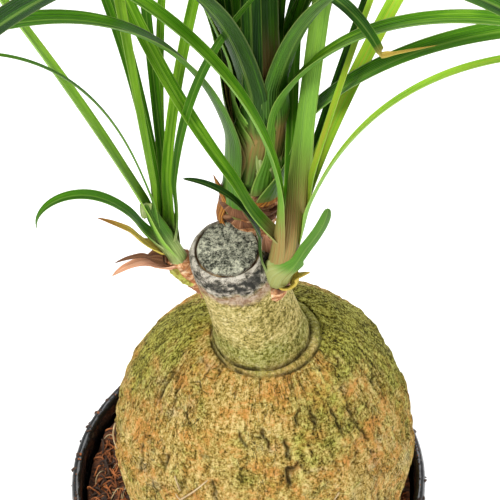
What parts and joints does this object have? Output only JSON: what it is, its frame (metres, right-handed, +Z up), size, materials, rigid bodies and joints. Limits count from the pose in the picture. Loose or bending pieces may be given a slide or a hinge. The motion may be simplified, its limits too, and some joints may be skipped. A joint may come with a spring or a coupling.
{
  "type": "potted ponytail palm",
  "caption": "Swollen caudex with a sawn trunk, leafy regrown shoots of long arching strap leaves, in a black tapered nursery pot of fibrous potting mix.",
  "frame": {"origin": "centre of the flat underside of the pot", "axes": "+Z up, -Y towards the side that the picture was taken from, +X to the right of that view"},
  "size_m": [0.6031, 0.6034, 0.7776],
  "materials": {
    "pot": "glossy black moulded plastic",
    "soil": "damp coir and bark potting mix, matte",
    "caudex": "fissured tan and olive bark, matte",
    "leaf": "waxy green blade, satin",
    "dry_sheath": "dry papery leaf base, matte"
  },
  "bodies": {
    "root": {"pot": "pot", "soil": "soil", "caudex": "caudex", "shoot_left": "leaf", "shoot_right": "leaf", "shoot_back": "leaf", "dry_sheath_left": "dry_sheath", "dry_sheath_right": "dry_sheath", "dry_sheath_back": "dry_sheath"}
  },
  "joints": []
}
